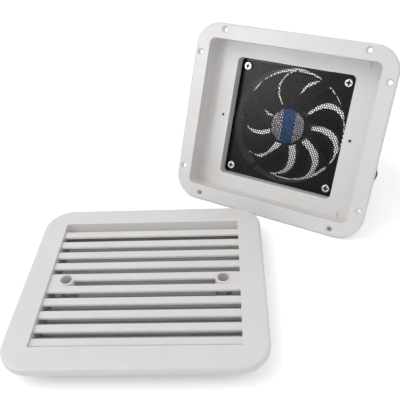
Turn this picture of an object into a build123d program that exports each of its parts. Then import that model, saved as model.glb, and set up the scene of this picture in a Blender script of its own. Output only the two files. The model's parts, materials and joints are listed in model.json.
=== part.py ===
"""Exhaust fan for the side wall of a caravan or camper, with its louvre cover taken off.

The wall housing leans back on the floor, on the lower edge of its flange and the lower rear edge
of its duct. The louvre cover lies face up in front of it. Lengths are in millimetres, +Z is up,
the floor is Z = 0, and the origin is the middle of the footprint of housing and cover.
"""
from math import atan2, cos, degrees, pi, radians, sin, sqrt, tan
import os

from build123d import *

os.makedirs("parts", exist_ok=True)

# Wall housing, moulded in one piece: flange, tray for the cover, and duct for the fan
flange_width = 200.0
flange_height = 180.0
flange_thickness = 4.0
flange_corner_radius = 24.0
flange_edge_radius = 1.8
tray_width = 170.0
tray_height = 150.0
tray_depth = 21.0
tray_corner_radius = 6.0
tray_wall = 3.0
ledge_reach = 6.0
ledge_height = 1.0
ledge_end_gap = 14.0
duct_wall = 2.0
duct_corner_radius = 4.5
duct_tail = 3.0
tab_thickness = 2.6
tab_opening_radius = 66.0
wall_screw_hole_radius = 2.1
wall_screw_sink_radius = 3.6
wall_screw_edge_gap = 6.2
wall_screw_side_place = 70.6
wall_screw_end_place = 59.2
pilot_hole_radius = 1.5
pilot_hole_depth = 10.0
pilot_boss_wall = 2.1

# Louvre cover
cover_rise = 22.5
cover_corner_radius = 25.0
cover_edge_radius = 2.6
rim_gap = 0.5
rim_wall = 2.0
rim_plate = 2.3
louvre_box_gap = 1.0
louvre_box_wall = 2.5
louvre_mouth_radius = 1.5
slat_count = 10
slat_pitch = 13.85
first_slat_gap = 12.1
slat_drop = 2.3
slat_face = 5.6
slat_thickness = 2.0
slat_nose_radius = 1.2
slat_nose_lip = 1.2
slat_lip_thickness = 1.8
slat_step = 0.8
slat_step_reach = 0.4
slat_floor_gap = 1.0
screw_boss_spacing = 134.6
screw_boss_radius = 6.9
screw_boss_floor = 2.5
screw_boss_base = 2.5
screw_head_well_radius = 5.0
screw_clearance_radius = 2.2
well_ring_width = 1.3
well_ring_height = 0.5

# Guard sheet over the fan
guard_setback = 32.6
guard_thickness = 0.8
guard_side_gap = 0.3
guard_hole_radius = 2.35
guard_hole_pitch = 6.9
guard_border = 3.4

# Axial fan
fan_side = 120.0
fan_depth = 25.0
fan_side_gap = 0.4
fan_corner_radius = 4.0
fan_plate = 3.2
fan_bore_radius = 58.0
fan_tube_wall = 1.6
fan_flare_radius = 59.2
fan_flare_depth = 5.0
fan_hole_spacing = 105.0
fan_hole_radius = 2.2
fan_post_radius = 4.6
strut_thickness = 5.0
strut_width = 4.0
lead_strut_width = 10.0
strut_offset = 16.0
strut_direction = 41.7
channel_width = 4.4
channel_depth = 3.6
channel_shoulder = 0.7
hub_skin = 0.8
hub_base_radius = 19.5
hub_base_setback = 1.0
hub_base_thickness = 2.0
bearing_tube_wall = 1.6
label_radius = 17.4
label_thickness = 0.2

# Fan screws and nuts
screw_radius = 2.0
screw_head_radius = 4.1
screw_head_height = 2.6
screw_crown = 0.8
screw_slot_width = 1.5
screw_slot_length = 5.2
screw_slot_depth = 1.9
screw_pit_radius = 1.6
nut_width = 7.0
nut_thickness = 3.2
screw_end = 1.2

# Bearings, shaft and rotor
shaft_radius = 1.5
shaft_setback = 0.5
bearing_radius = 4.0
bearing_width = 4.0
bearing_ring = 0.7
ball_count = 7
ball_gap = 0.05
fit_gap = 0.02
front_bearing_setback = 1.8
shoulder_length = 4.4
shoulder_radius = 3.4
washer_thickness = 0.8
clip_radius = 2.7
clip_thickness = 0.4
clip_gap = 0.1
clip_groove_depth = 0.25
clip_opening = 1.8
rotor_gap = 1.0
hub_radius = 20.0
hub_wall = 1.7
hub_cap = 1.9
hub_length = 16.6
hub_edge_radius = 1.0
cup_thickness = 0.8
cup_setback = 1.0
magnet_thickness = 2.0
magnet_length = 9.5
rotor_bush_radius = 3.2
rotor_bush_nose = 0.4
air_gap = 0.6

# Blades
blade_count = 9
blade_first_angle = 24.2
blade_tip_radius = 55.0
blade_sweep = 29.0
blade_sweep_start = 22.0
blade_sweep_power = 3.0
blade_root_gap = 4.0
blade_tip_gap = 5.2
blade_middle = 13.2
blade_thickness = 1.6
blade_edge_thickness = 0.8
blade_root_rise = 11.0
blade_tip_rise = 7.5
blade_camber = 1.3
blade_root_depth = 2.5
blade_tip_trim = 0.6
blade_stations = 6

# Stator and circuit board
stator_pole_count = 4
stator_start = 9.4
stator_stack = 6.0
stator_yoke = 2.4
pole_arm_width = 4.4
pole_face_angle = 62.0
pole_face_thickness = 1.8
bobbin_thickness = 0.7
bobbin_split = 0.1
coil_end_gap = 0.6
coil_thickness = 1.5
board_thickness = 1.0
board_radius = 16.4
chip_width = 4.0
chip_length = 5.2
chip_height = 1.5
chip_place = 11.4
board_side_gap = 0.4
board_bore_gap = 0.3
tongue_width = 5.0
tongue_setback = 3.6
tongue_gap = 0.3
pin_radius = 0.35
pin_stub = 0.3

# Leads: one twisted pair leaves the duct, hangs to the floor and ends coiled in a plug
wire_diameter = 1.6
lead_diameter = 3.2
lead_layer_step = 3.7
lead_window_width = 9.0
lead_window_margin = 0.5
lead_wall_gap = 1.5
lead_cover_gap = 0.3
wire_gap = 0.1
wire_lift = 0.05
coil_turns = 2
coil_outer_radius = 16.0
coil_ring_step = 3.8
coil_start_angle = 30.0
heading_step = 0.01
coil_middle = (98.5, 163.0)
lead_run_out = 10.0
coil_run_in = 14.3
coil_run_out = 7.0
lead_corner_share = 0.45
plug_length = 14.0
plug_width = 7.6
plug_height = 5.2
plug_corner_radius = 0.6
plug_latch_length = 6.0
plug_latch_width = 3.0
plug_latch_height = 0.8
plug_pin_radius = 0.5
plug_pin_spacing = 2.5
plug_pin_depth = 9.0
plug_pin_length = 8.0
plug_cavity_radius = 0.95

# Where the two pieces lie, seen from above
cover_yaw = 26.9
cover_aside = 46.2
cover_forward = 177.0

# The cover's rim goes round the flange, and its louvre box goes into the tray
cover_width = flange_width + 2 * (rim_gap + rim_wall)
cover_height = flange_height + 2 * (rim_gap + rim_wall)
rim_depth = rim_plate + flange_thickness
louvre_box_width = tray_width - 2 * louvre_box_gap
louvre_box_height = tray_height - 2 * louvre_box_gap
louvre_mouth_width = louvre_box_width - 2 * louvre_box_wall
louvre_mouth_height = louvre_box_height - 2 * louvre_box_wall

# Depths below the front of the flange
fan_front = guard_setback + guard_thickness
fan_rear = fan_front + fan_depth
tab_rear = fan_rear + tab_thickness
duct_length = tab_rear + duct_tail
hub_front = fan_front + hub_base_setback
hub_rear = hub_front + hub_base_thickness
duct_bore = fan_side + 2 * fan_side_gap
duct_half = duct_bore / 2 + duct_wall

# The lean at which flange edge and duct edge both touch the floor
lean = degrees(atan2(flange_height / 2 - duct_half, duct_length - flange_thickness))
lean_sin, lean_cos = sin(radians(lean)), cos(radians(lean))


def half_extent(width, height, radius, angle):
    """Half the extent, along X, of a rounded rectangle that is turned by an angle."""
    across = (width / 2 - radius) * abs(cos(radians(angle)))
    along = (height / 2 - radius) * abs(sin(radians(angle)))
    return across + along + radius


left_reach = cover_aside + half_extent(cover_width, cover_height, cover_corner_radius, cover_yaw)
front_reach = cover_forward + half_extent(cover_width, cover_height, cover_corner_radius, cover_yaw + 90)
back_reach = duct_half * lean_sin + duct_length * lean_cos
housing_x = (left_reach - flange_width / 2) / 2
housing_y = (front_reach - back_reach) / 2
housing_z = flange_height / 2 * lean_cos + flange_thickness * lean_sin

# Front plane of the flange, and floor plane of the cover
HOUSING = Plane(origin=(housing_x, housing_y, housing_z), x_dir=(1, 0, 0), z_dir=(0, -lean_cos, lean_sin))
COVER = Plane(
    origin=(housing_x - cover_aside, housing_y - cover_forward, 0),
    x_dir=(cos(radians(cover_yaw)), sin(radians(cover_yaw)), 0),
    z_dir=(0, 0, 1),
)
OUT_OF_HOUSING = Axis(HOUSING.origin, HOUSING.z_dir)
FACE_UP = Axis(COVER.origin, COVER.z_dir)
ON_BASE = (Align.CENTER, Align.CENTER, Align.MIN)


def level(depth):
    """Plane parallel to the flange, at a depth below its front face."""
    return HOUSING.offset(-depth)


def cover_level(height):
    """Plane parallel to the floor, on the middle of the cover."""
    return COVER.offset(height)


def housing_point(x, y, depth):
    """Point given across and up the flange, and below its front face."""
    return HOUSING.from_local_coords(Vector(x, y, -depth))


def ring(outer, inner, start, end, mode=Mode.ADD):
    """Ring or sleeve on the fan's axis, between two depths."""
    with BuildSketch(level(end)) as section:
        Circle(outer)
        Circle(inner, mode=Mode.SUBTRACT)
    extrude(section.sketch, amount=end - start, mode=mode)


def square_points(spacing):
    """The four corners of a square."""
    half = spacing / 2
    return [(half, half), (-half, half), (-half, -half), (half, -half)]


def save(piece, name):
    """Name a finished piece and write it."""
    piece.part.label = name
    export_step(piece.part, f"parts/{name}.step")


# Wall screw holes: two on each side of the flange
side_hole_y = flange_height / 2 - wall_screw_edge_gap
end_hole_x = flange_width / 2 - wall_screw_edge_gap
wall_screw_points = [(x * wall_screw_side_place, y * side_hole_y) for x in (-1, 1) for y in (-1, 1)]
wall_screw_points += [(x * end_hole_x, y * wall_screw_end_place) for x in (-1, 1) for y in (-1, 1)]
pilot_points = [(-screw_boss_spacing / 2, 0), (screw_boss_spacing / 2, 0)]
tray_back = tray_depth + tray_wall

# The leads run along the wide strut, to a window in the top wall of the duct
lead_run = Vector(cos(radians(strut_direction)), sin(radians(strut_direction)), 0)
lead_aside = Vector(-lead_run.Y, lead_run.X, 0)
lead_depth = fan_front + channel_depth - wire_lift - wire_diameter / 2
lead_exit_reach = (duct_half + lead_wall_gap - strut_offset * lead_aside.Y) / lead_run.Y
lead_exit = lead_aside * strut_offset + lead_run * lead_exit_reach
lead_window_x = lead_exit.X - (duct_wall / 2 + lead_wall_gap) * lead_run.X / lead_run.Y


def lead_plane(depth):
    """Plane parallel to the flange with its X along the leads in the wide strut."""
    turned = Plane(origin=HOUSING.origin, x_dir=HOUSING.x_dir * lead_run.X + HOUSING.y_dir * lead_run.Y,
                   z_dir=HOUSING.z_dir)
    return turned.offset(-depth)


# Outlines of the housing's rings: width, height and corner radius
tray_mouth = (tray_width, tray_height, tray_corner_radius)
tray_outside = (tray_width + 2 * tray_wall, tray_height + 2 * tray_wall, tray_corner_radius + tray_wall)
duct_mouth = (duct_bore, duct_bore, duct_corner_radius)
duct_outside = (2 * duct_half, 2 * duct_half, duct_corner_radius + duct_wall)


def frame_ring(outside, inside, start, end):
    """Ring between two rounded rectangles, from one depth to another."""
    with BuildSketch(level(end)) as section:
        RectangleRounded(*outside)
        RectangleRounded(*inside, mode=Mode.SUBTRACT)
    extrude(section.sketch, amount=end - start)


# The housing is one moulding, in five solids face to face: flange, tray wall, tray floor, duct, tabs
with BuildPart() as housing_flange:
    with BuildSketch(level(flange_thickness)):
        RectangleRounded(flange_width, flange_height, flange_corner_radius)
    extrude(amount=flange_thickness)
    front_rim = housing_flange.faces().sort_by(OUT_OF_HOUSING)[-1].edges()
    fillet(front_rim, radius=flange_edge_radius)
    with BuildSketch(level(flange_thickness)):
        RectangleRounded(*tray_outside)
    extrude(amount=flange_thickness, mode=Mode.SUBTRACT)
    with Locations(HOUSING):
        with Locations(*wall_screw_points):
            CounterSinkHole(wall_screw_hole_radius, wall_screw_sink_radius, depth=flange_thickness + 1)
save(housing_flange, "housing_flange")

with BuildPart() as housing_tray:
    frame_ring(tray_outside, tray_mouth, 0, tray_depth)
save(housing_tray, "housing_tray")

with BuildPart() as housing_floor:
    frame_ring(tray_outside, duct_mouth, tray_depth, tray_back)
    with BuildSketch(level(tray_depth)):
        with Locations((0, (tray_height - ledge_reach) / 2), (0, (ledge_reach - tray_height) / 2)):
            Rectangle(tray_width - 2 * ledge_end_gap, ledge_reach)
    extrude(amount=ledge_height)
    with BuildSketch(level(tray_depth + pilot_hole_depth + pilot_boss_wall)):
        with Locations(*pilot_points):
            Circle(pilot_hole_radius + pilot_boss_wall)
    extrude(amount=pilot_hole_depth + pilot_boss_wall - tray_wall)
    with BuildSketch(level(tray_depth + pilot_hole_depth)):
        with Locations(*pilot_points):
            Circle(pilot_hole_radius)
    extrude(amount=pilot_hole_depth, mode=Mode.SUBTRACT)
save(housing_floor, "housing_floor")

with BuildPart() as housing_duct:
    frame_ring(duct_outside, duct_mouth, tray_back, fan_rear)
    window_rear = lead_depth + wire_diameter / 2 + lead_window_margin
    with BuildSketch(level(window_rear)):
        with Locations((lead_window_x, duct_half - duct_wall / 2)):
            Rectangle(lead_window_width, 2 * duct_wall)
    extrude(amount=window_rear - fan_front, mode=Mode.SUBTRACT)
save(housing_duct, "housing_duct")

with BuildPart() as housing_tabs:
    frame_ring(duct_outside, duct_mouth, fan_rear, duct_length)
    with BuildSketch(level(tab_rear)):
        RectangleRounded(*duct_outside)
        Circle(tab_opening_radius, mode=Mode.SUBTRACT)
        with Locations(*square_points(fan_hole_spacing)):
            Circle(fan_hole_radius, mode=Mode.SUBTRACT)
    extrude(amount=tab_thickness)
save(housing_tabs, "housing_tabs")

guard_side = duct_bore - 2 * guard_side_gap
guard_row = guard_hole_pitch * sqrt(3) / 2
guard_count = int(guard_side / guard_row)


def guard_holes():
    """Staggered hole centres that keep clear of the border and of the four screws."""
    limit = guard_side / 2 - guard_border - guard_hole_radius
    keep_out = screw_head_radius + guard_hole_radius
    centres = []
    for row in range(-guard_count, guard_count + 1):
        for column in range(-guard_count, guard_count + 1):
            x = (column + 0.5 * (row % 2)) * guard_hole_pitch
            y = row * guard_row
            near_screw = sqrt((abs(x) - fan_hole_spacing / 2) ** 2 + (abs(y) - fan_hole_spacing / 2) ** 2)
            if max(abs(x), abs(y)) < limit and near_screw > keep_out:
                centres.append((x, y))
    return centres


# The sheet's fine perforation is drawn as fewer and wider holes, as open as the real ones
with BuildPart() as mesh_guard:
    with BuildSketch(level(fan_front)):
        RectangleRounded(guard_side, guard_side, duct_corner_radius - guard_side_gap)
        with Locations(*guard_holes()):
            Circle(guard_hole_radius, mode=Mode.SUBTRACT)
        with Locations(*square_points(fan_hole_spacing)):
            Circle(fan_hole_radius, mode=Mode.SUBTRACT)
    extrude(amount=guard_thickness)
save(mesh_guard, "mesh_guard")
print("guard holes", len(guard_holes()))

# Depths and radii that the bearings set
bearing_seat = bearing_radius + fit_gap
bearing_tube_outer = bearing_seat + bearing_tube_wall
front_bearing = hub_front + front_bearing_setback
shoulder_start = front_bearing + bearing_width
washer_start = shoulder_start + shoulder_length
rear_bearing = washer_start + washer_thickness + fit_gap
bearing_tube_end = rear_bearing + bearing_width
strut_rear = fan_front + strut_thickness
tube_outer = fan_bore_radius + fan_tube_wall
channel_floor = fan_front + channel_depth
channel_start = sqrt(hub_base_radius ** 2 - (strut_offset - channel_width / 2) ** 2) + channel_shoulder
tongue_start = -tongue_setback


def strut(direction, width):
    """One strut that leaves the motor's base beside its middle and runs out past the bore."""
    turn = radians(direction)
    x = cos(turn) * tube_outer / 2 - sin(turn) * strut_offset
    y = sin(turn) * tube_outer / 2 + cos(turn) * strut_offset
    with Locations((x, y)):
        Rectangle(tube_outer, width, rotation=direction)


# Fan frame: two plates, a tube that widens at its rear, four posts, four struts, the motor's base
with BuildPart() as fan_frame:
    for plate_rear in (fan_front + fan_plate, fan_rear):
        with BuildSketch(level(plate_rear)):
            RectangleRounded(fan_side, fan_side, fan_corner_radius)
        extrude(amount=fan_plate)
    with BuildSketch(level(fan_rear)):
        Circle(tube_outer)
        with Locations(*square_points(fan_hole_spacing)):
            Circle(fan_post_radius)
    extrude(amount=fan_depth)
    with BuildSketch(level(fan_rear)):
        Circle(fan_bore_radius)
        with Locations(*square_points(fan_hole_spacing)):
            Circle(fan_hole_radius)
    extrude(amount=fan_depth, mode=Mode.SUBTRACT)
    with Locations(level(fan_rear)):
        Cone(fan_flare_radius, fan_bore_radius, fan_flare_depth, align=ON_BASE, mode=Mode.SUBTRACT)
    with BuildSketch(level(strut_rear)):
        strut(strut_direction, lead_strut_width)
        for quarter in (1, 2, 3):
            strut(strut_direction + 90 * quarter, strut_width)
        Circle(fan_bore_radius + fan_tube_wall / 2, mode=Mode.INTERSECT)
    extrude(amount=strut_thickness)
    with BuildSketch(level(strut_rear)):
        Circle(hub_base_radius)
    extrude(amount=strut_thickness, mode=Mode.SUBTRACT)
    with BuildSketch(level(hub_rear)):
        Circle(hub_base_radius)
    extrude(amount=hub_base_thickness)
    ring(hub_base_radius, board_radius + board_side_gap, hub_rear, strut_rear)
    with BuildSketch(lead_plane(channel_floor)):
        with Locations((channel_start + fan_side / 2, strut_offset)):
            Rectangle(fan_side, channel_width)
    extrude(amount=channel_depth, mode=Mode.SUBTRACT)
    slot_start = tongue_start - tongue_gap
    with BuildSketch(lead_plane(strut_rear)):
        with Locations(((channel_start + slot_start) / 2, strut_offset)):
            Rectangle(channel_start - slot_start, channel_width)
    extrude(amount=strut_rear - hub_front - hub_skin, mode=Mode.SUBTRACT)
    ring(bearing_tube_outer, shoulder_radius, hub_front, bearing_tube_end)
    for seat_end, seat_start in ((shoulder_start, hub_front), (bearing_tube_end, washer_start)):
        with BuildSketch(level(seat_end)):
            Circle(bearing_seat)
        extrude(amount=seat_end - seat_start, mode=Mode.SUBTRACT)
save(fan_frame, "fan_frame")

with BuildPart() as hub_label:
    with BuildSketch(level(hub_front)):
        Circle(label_radius)
    extrude(amount=label_thickness)
save(hub_label, "hub_label")

# Four long screws hold guard and fan to the tabs at the end of the duct
screw_tip = tab_rear + nut_thickness + screw_end
with BuildPart() as fan_screws:
    with BuildSketch(level(screw_tip)):
        with Locations(*square_points(fan_hole_spacing)):
            Circle(screw_radius)
    extrude(amount=screw_tip - guard_setback)
    with BuildSketch(level(guard_setback)):
        with Locations(*square_points(fan_hole_spacing)):
            Circle(screw_head_radius)
    extrude(amount=screw_head_height)
    crowns = fan_screws.faces().group_by(OUT_OF_HOUSING)[-1].edges()
    fillet(crowns, radius=screw_crown)
    with BuildSketch(level(guard_setback - screw_head_height + screw_slot_depth)):
        with Locations(*square_points(fan_hole_spacing)):
            Rectangle(screw_slot_length, screw_slot_width)
            Rectangle(screw_slot_width, screw_slot_length)
            Circle(screw_pit_radius)
    extrude(amount=screw_slot_depth, mode=Mode.SUBTRACT)
save(fan_screws, "fan_screws")

with BuildPart() as fan_nuts:
    with BuildSketch(level(tab_rear + nut_thickness)):
        with Locations(*square_points(fan_hole_spacing)):
            RegularPolygon(nut_width / 2, 6, major_radius=False)
            Circle(screw_radius + fit_gap, mode=Mode.SUBTRACT)
    extrude(amount=nut_thickness)
save(fan_nuts, "fan_nuts")

# Two ball bearings, a washer that keeps them under load, and the shaft
outer_ring_bore = bearing_radius - bearing_ring
inner_ring_radius = shaft_radius + fit_gap + bearing_ring
ball_radius = (outer_ring_bore - inner_ring_radius) / 2 - ball_gap
ball_circle = (outer_ring_bore + inner_ring_radius) / 2

with BuildPart() as bearing_outer_rings:
    for bearing in (front_bearing, rear_bearing):
        ring(bearing_radius, outer_ring_bore, bearing, bearing + bearing_width)
save(bearing_outer_rings, "bearing_outer_rings")

with BuildPart() as bearing_inner_rings:
    for bearing in (front_bearing, rear_bearing):
        ring(inner_ring_radius, shaft_radius + fit_gap, bearing, bearing + bearing_width)
save(bearing_inner_rings, "bearing_inner_rings")

with BuildPart() as bearing_balls:
    for bearing in (front_bearing, rear_bearing):
        with Locations(level(bearing + bearing_width / 2)):
            with PolarLocations(ball_circle, ball_count):
                Sphere(ball_radius)
save(bearing_balls, "bearing_balls")

with BuildPart() as bearing_washer:
    ring(bearing_radius - ball_gap, outer_ring_bore, washer_start, washer_start + washer_thickness)
save(bearing_washer, "bearing_washer")

rotor_front = strut_rear + rotor_gap
hub_end = rotor_front + hub_length
cap_inside = hub_end - hub_cap
clip_end = front_bearing - clip_gap
clip_start = clip_end - clip_thickness

with BuildPart() as shaft:
    with BuildSketch(level(cap_inside)):
        Circle(shaft_radius)
    extrude(amount=cap_inside - hub_front - shaft_setback)
    ring(2 * shaft_radius, shaft_radius - clip_groove_depth, clip_start, clip_end, Mode.SUBTRACT)
save(shaft, "shaft")

with BuildPart() as shaft_clip:
    ring(clip_radius, shaft_radius - clip_groove_depth + fit_gap, clip_start, clip_end)
    with BuildSketch(level(clip_end)):
        with Locations((0, -clip_radius / 2)):
            Rectangle(clip_opening, clip_radius)
    extrude(amount=clip_thickness, mode=Mode.SUBTRACT)
save(shaft_clip, "shaft_clip")

with BuildPart() as rotor_bush:
    bearing_back = rear_bearing + bearing_width
    ring(inner_ring_radius, shaft_radius + fit_gap, bearing_back, bearing_back + rotor_bush_nose)
    ring(rotor_bush_radius, shaft_radius + fit_gap, bearing_back + rotor_bush_nose, cap_inside)
save(rotor_bush, "rotor_bush")

# Rotor: hub with blades, and inside it the steel cup with the magnet ring
hub_bore = hub_radius - hub_wall
cup_radius = hub_bore - fit_gap
magnet_radius = cup_radius - cup_thickness - fit_gap
magnet_bore = magnet_radius - magnet_thickness
stator_front = fan_front + stator_start
stator_rear = stator_front + stator_stack
stator_middle = (stator_front + stator_rear) / 2
stator_radius = magnet_bore - air_gap


def blade_station(first_angle, radius):
    """Plane across one blade at a radius: X runs round the hub and Y towards the front."""
    swept = max(radius - blade_sweep_start, 0) / (blade_tip_radius - blade_sweep_start)
    angle = radians(first_angle - blade_sweep * swept ** blade_sweep_power)
    out = HOUSING.x_dir * cos(angle) + HOUSING.y_dir * sin(angle)
    round_hub = HOUSING.y_dir * cos(angle) - HOUSING.x_dir * sin(angle)
    middle = level(fan_front + blade_middle).origin
    return Plane(origin=middle + out * radius, x_dir=round_hub, z_dir=out)


def blade_section(radius):
    """Outline of one blade at a radius: a thin curved strip from front to rear edge."""
    part_way = (radius - hub_radius) / (blade_tip_radius - hub_radius)
    gap = blade_root_gap + (blade_tip_gap - blade_root_gap) * part_way
    rise = blade_root_rise + (blade_tip_rise - blade_root_rise) * part_way
    front = Vector((2 * pi * radius / blade_count - gap) / 2, rise / 2)
    aside = Vector(-front.Y, front.X).normalized()
    bulge = aside * blade_camber
    half_thick = aside * (blade_thickness / 2)
    edge_thick = aside * (blade_edge_thickness / 2)
    with BuildLine() as outline:
        ThreePointArc(front + edge_thick, bulge + half_thick, edge_thick - front)
        ThreePointArc(front - edge_thick, bulge - half_thick, -front - edge_thick)
        Line(front + edge_thick, front - edge_thick)
        Line(edge_thick - front, -front - edge_thick)
    make_face(outline.edges())


station_first = hub_radius - blade_root_depth
station_step = (blade_tip_radius + blade_tip_trim - station_first) / (blade_stations - 1)

with BuildPart() as impeller:
    for blade in range(blade_count):
        for station in range(blade_stations):
            station_radius = station_first + station * station_step
            angle = blade_first_angle + 360 / blade_count * blade
            with BuildSketch(blade_station(angle, station_radius)):
                blade_section(station_radius)
        loft()
    with BuildSketch(level(hub_end)):
        Circle(blade_tip_radius)
    extrude(amount=hub_length, mode=Mode.INTERSECT)
    with BuildSketch(level(hub_end)):
        Circle(hub_radius)
    extrude(amount=hub_length)
    back_rim = impeller.faces().sort_by(OUT_OF_HOUSING)[0].edges()
    fillet(back_rim, radius=hub_edge_radius)
    with BuildSketch(level(cap_inside)):
        Circle(hub_bore)
    extrude(amount=cap_inside - rotor_front, mode=Mode.SUBTRACT)
save(impeller, "impeller")

with BuildPart() as rotor_cup:
    ring(cup_radius, cup_radius - cup_thickness, rotor_front + cup_setback, cap_inside)
    ring(cup_radius, rotor_bush_radius + fit_gap, cap_inside - cup_thickness, cap_inside)
save(rotor_cup, "rotor_cup")

with BuildPart() as magnet_ring:
    half_length = magnet_length / 2
    ring(magnet_radius, magnet_bore, stator_middle - half_length, stator_middle + half_length)
save(magnet_ring, "magnet_ring")

# Stator: laminated core, two halves of an insulating former, and four windings
stator_bore = bearing_tube_outer + fit_gap
yoke_radius = stator_bore + stator_yoke
shoe_inside = stator_radius - pole_face_thickness
former_width = pole_arm_width + 2 * bobbin_thickness
winding_width = former_width + 2 * coil_thickness
winding_start = yoke_radius + coil_end_gap
winding_end = sqrt(shoe_inside ** 2 - (winding_width / 2) ** 2) - fit_gap


def pole_arms(width, start, end, mode=Mode.ADD):
    """One strip along each pole, between two radii."""
    with PolarLocations((start + end) / 2, stator_pole_count):
        Rectangle(end - start, width, mode=mode)


def pole_outline(width):
    """Yoke, arms and curved pole faces, seen along the shaft."""
    half_face = radians(pole_face_angle / 2)
    for pole in range(stator_pole_count):
        turn = 2 * pi * pole / stator_pole_count
        with BuildLine() as pole_face:
            rims = []
            for radius in (stator_radius, shoe_inside):
                angles = (turn - half_face, turn, turn + half_face)
                rims.append(ThreePointArc(*[(radius * cos(a), radius * sin(a)) for a in angles]))
            Line(rims[0] @ 0, rims[1] @ 0)
            Line(rims[0] @ 1, rims[1] @ 1)
        make_face(pole_face.edges())
    Circle(yoke_radius)
    pole_arms(width, stator_bore, shoe_inside + pole_face_thickness / 2)
    Circle(stator_bore, mode=Mode.SUBTRACT)


with BuildPart() as stator_core:
    with BuildSketch(level(stator_rear)):
        pole_outline(pole_arm_width)
    extrude(amount=stator_stack)
save(stator_core, "stator_core")

with BuildPart() as stator_former:
    for plate_end in (stator_front, stator_rear + bobbin_thickness):
        with BuildSketch(level(plate_end)):
            pole_outline(former_width)
        extrude(amount=bobbin_thickness)
    cheek = (stator_stack - bobbin_split) / 2
    for cheek_end in (stator_front + cheek, stator_rear):
        with BuildSketch(level(cheek_end)):
            pole_arms(former_width, winding_start, winding_end)
            pole_arms(pole_arm_width + 2 * fit_gap, winding_start, winding_end, Mode.SUBTRACT)
        extrude(amount=cheek)
save(stator_former, "stator_former")

with BuildPart() as stator_windings:
    winding_rear = stator_rear + bobbin_thickness + coil_thickness
    winding_depth = stator_stack + 2 * (bobbin_thickness + coil_thickness)
    with BuildSketch(level(winding_rear)):
        pole_arms(winding_width, winding_start, winding_end)
    extrude(amount=winding_depth)
    with BuildSketch(level(winding_rear - coil_thickness + fit_gap)):
        pole_arms(former_width + 2 * fit_gap, winding_start, winding_end)
    extrude(amount=winding_depth - 2 * (coil_thickness - fit_gap), mode=Mode.SUBTRACT)
save(stator_windings, "stator_windings")

# Circuit board on the pins of the former, with a tongue for the two leads
board_front = channel_floor
board_rear = board_front + board_thickness
pin_circle = (stator_bore + yoke_radius) / 2
tongue_edge = strut_offset + channel_width / 2 - tongue_gap

with BuildPart() as circuit_board:
    with BuildSketch(level(board_rear)):
        Circle(board_radius)
    extrude(amount=board_thickness)
    with BuildSketch(lead_plane(board_rear)):
        with Locations((tongue_start + tongue_width / 2, tongue_edge / 2)):
            Rectangle(tongue_width, tongue_edge)
    extrude(amount=board_thickness)
    with BuildSketch(level(board_rear)):
        Circle(bearing_tube_outer + board_bore_gap)
        with PolarLocations(pin_circle, stator_pole_count, start_angle=180 / stator_pole_count):
            Circle(pin_radius + fit_gap)
    extrude(amount=board_thickness, mode=Mode.SUBTRACT)
save(circuit_board, "circuit_board")

with BuildPart() as board_pins:
    pin_end = stator_front - bobbin_thickness
    with BuildSketch(level(pin_end)):
        with PolarLocations(pin_circle, stator_pole_count, start_angle=180 / stator_pole_count):
            Circle(pin_radius)
    extrude(amount=pin_end - board_front + pin_stub)
save(board_pins, "board_pins")

with BuildPart() as driver_chip:
    with BuildSketch(lead_plane(board_rear + chip_height)):
        with Locations((0, -chip_place)):
            Rectangle(chip_length, chip_width)
    extrude(amount=chip_height)
save(driver_chip, "driver_chip")

# Two leads lie side by side in the wide strut, from the board's tongue to the duct's window
wire_start = tongue_start + tongue_gap
wire_aside = (wire_diameter + wire_gap) / 2
wire_plane = Plane(
    origin=lead_plane(lead_depth).from_local_coords(Vector(wire_start, strut_offset, 0)),
    x_dir=lead_plane(0).y_dir,
    z_dir=lead_plane(0).x_dir,
)
with BuildPart() as strut_leads:
    with BuildSketch(wire_plane):
        with Locations((-wire_aside, 0), (wire_aside, 0)):
            Circle(wire_diameter / 2)
    extrude(amount=lead_exit_reach - wire_start)
save(strut_leads, "strut_leads")


def corner_radii(points, share):
    """One radius for each corner: as large as its two runs allow."""
    radii = []
    for before, corner, after in zip(points, points[1:], points[2:]):
        turn = radians((corner - before).get_angle(after - corner))
        shorter = min((corner - before).length, (after - corner).length)
        radii.append(share * shorter / tan(turn / 2))
    return radii


def tube(points, radii, diameter):
    """Round tube along straight runs joined by arcs."""
    with BuildLine() as route:
        FilletPolyline(*points, radius=radii)
    path = route.wire()
    with BuildSketch(Plane(origin=path @ 0, z_dir=path % 0)) as section:
        Circle(diameter / 2)
    sweep(section.sketch, path=path)
    return path.length


# The coil lies on the floor behind the duct: in on the lower layer, out again on the upper one
coil_turn = radians(coil_start_angle)
lower_layer = lead_diameter / 2
coil_heading = Vector(-sin(coil_turn), cos(coil_turn), 0)


def coil_point(turns):
    """Point of the coil after a number of turns."""
    from_fold = abs(turns - coil_turns / 2)
    radius = coil_outer_radius - coil_ring_step * (coil_turns / 2 - from_fold)
    climb = min(max(0.5 + 2 * (turns - coil_turns / 2), 0), 1)
    height = lower_layer + lead_layer_step * climb * climb * (3 - 2 * climb)
    angle = coil_turn + 2 * pi * turns
    return Vector(coil_middle[0] + radius * cos(angle), coil_middle[1] + radius * sin(angle), height)


coil_start = coil_point(0)
coil_end = coil_point(coil_turns)
lead_end = coil_start - coil_heading * lead_diameter
tail_start = coil_end + coil_heading * lead_diameter
tail_points = [
    tail_start,
    tail_start + coil_heading * coil_run_out,
    Vector(101, 184.2, plug_height / 2),
    Vector(93.5, 185.3, plug_height / 2),
]
plug_start = tail_points[-1]
plug_heading = (tail_points[-1] - tail_points[-2]).normalized()

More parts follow.
